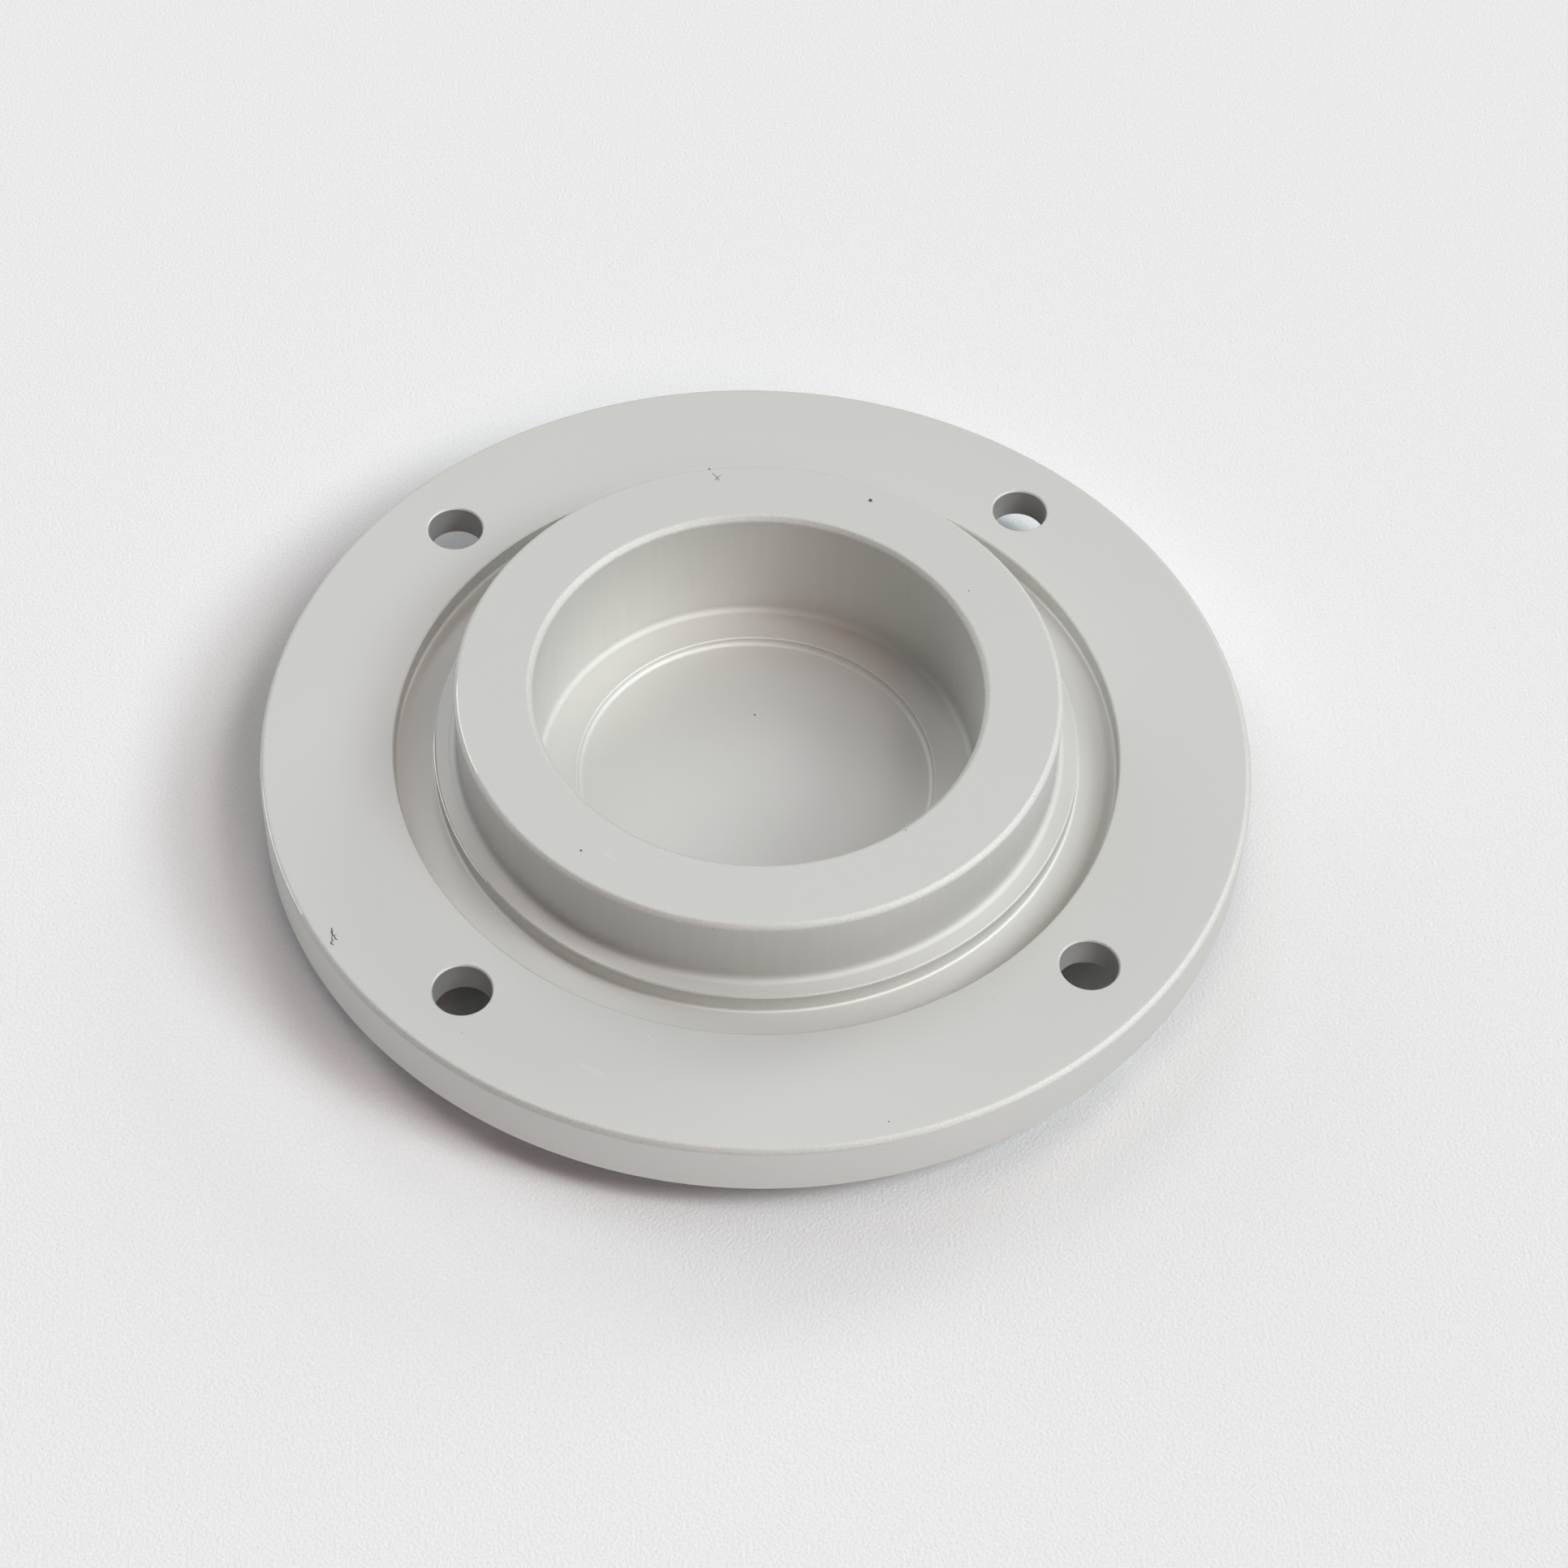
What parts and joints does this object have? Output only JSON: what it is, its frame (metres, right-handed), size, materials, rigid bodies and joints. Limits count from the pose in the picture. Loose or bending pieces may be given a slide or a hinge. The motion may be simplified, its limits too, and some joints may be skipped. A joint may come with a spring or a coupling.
{
  "type": "bearing flange",
  "caption": "Round one-piece flange with a raised hub, a blind pocket for a ball bearing, a seal groove round the hub's foot and countersunk bolt holes.",
  "frame": {"origin": "on the turning axis, in the plane of the plate's mating face, which is also the centre of the bolt circle", "axes": "+Z along the turning axis, out of the bearing pocket; the bolt holes lie at 45 degrees to X and Y"},
  "size_m": [0.078, 0.078, 0.0144],
  "materials": {
    "anodised_aluminium": "fine blasted and clear anodised, satin"
  },
  "bodies": {
    "root": {"bearing_flange": "anodised_aluminium"}
  },
  "joints": []
}
